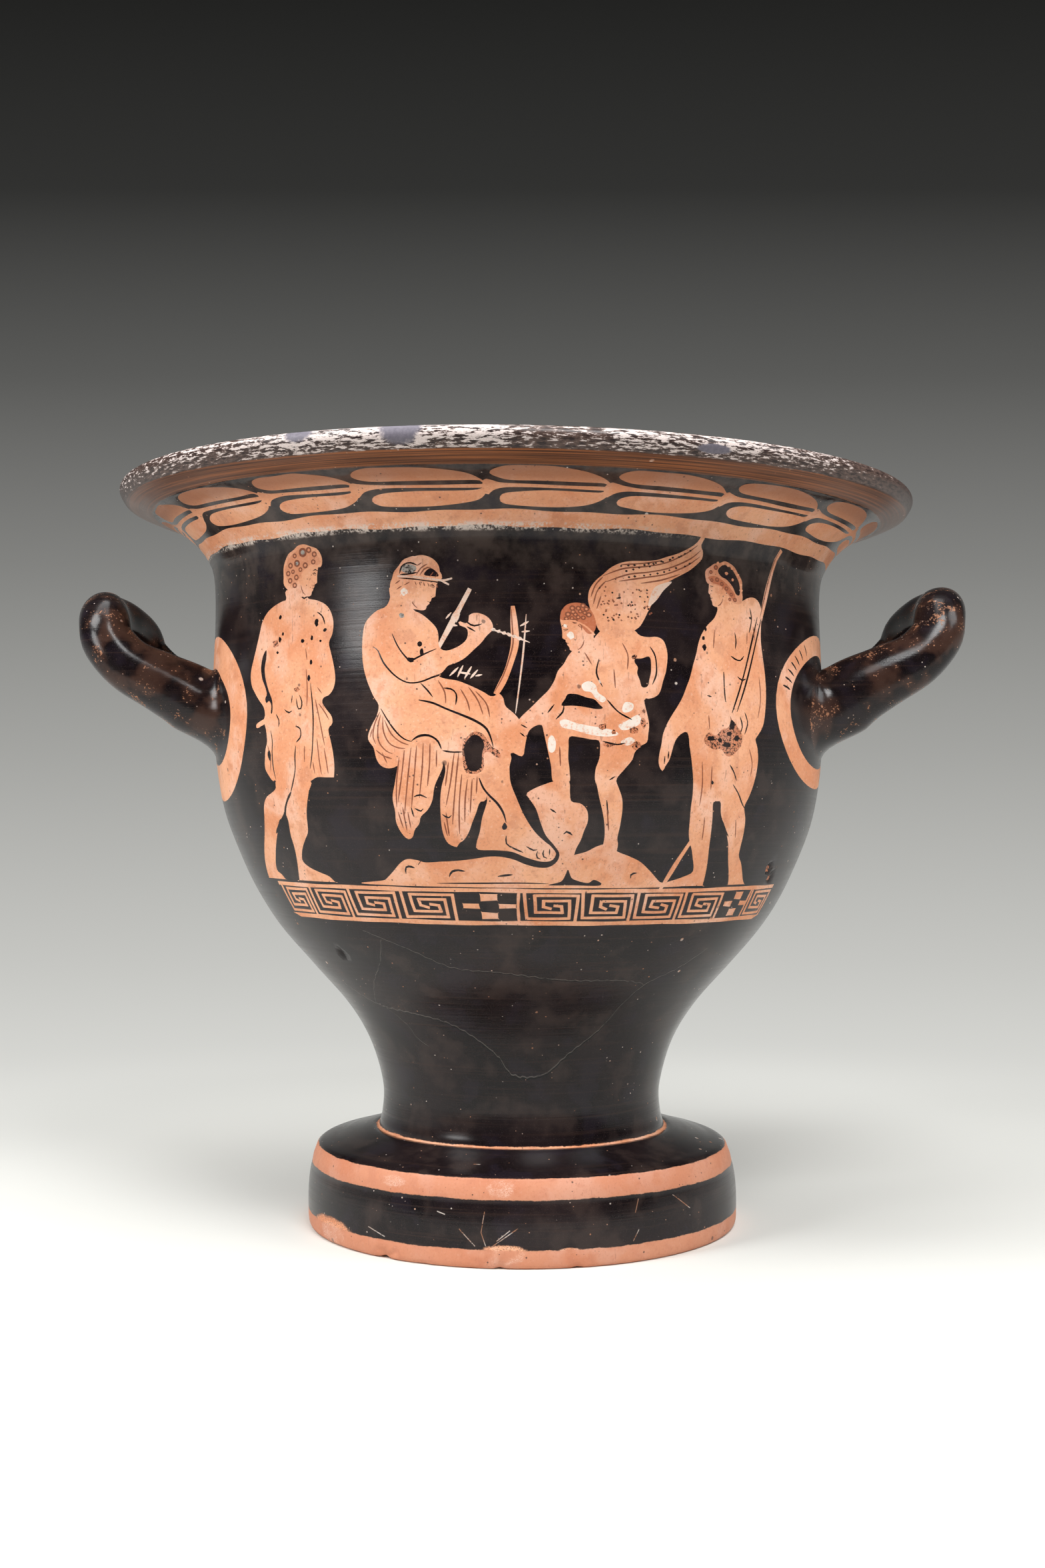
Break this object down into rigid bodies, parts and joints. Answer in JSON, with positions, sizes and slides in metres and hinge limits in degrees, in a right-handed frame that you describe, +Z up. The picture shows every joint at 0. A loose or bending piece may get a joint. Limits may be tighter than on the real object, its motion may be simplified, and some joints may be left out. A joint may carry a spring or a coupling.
{
  "type": "bell krater",
  "caption": "Footed clay mixing bowl with a wide flaring mouth, upturned side handles and a figured scene in orange on black gloss.",
  "frame": {"origin": "centre of the foot ring's underside, on the surface that the krater stands on", "axes": "+Z up through the mouth, +X towards one handle, -Y towards the main picture"},
  "size_m": [0.435, 0.3848, 0.3576],
  "materials": {
    "glazed_clay": "black gloss slip over orange clay, with figures, wreath and bands left in the clay's orange, worn pale at the lip"
  },
  "bodies": {
    "root": {"krater": "glazed_clay"}
  },
  "joints": []
}
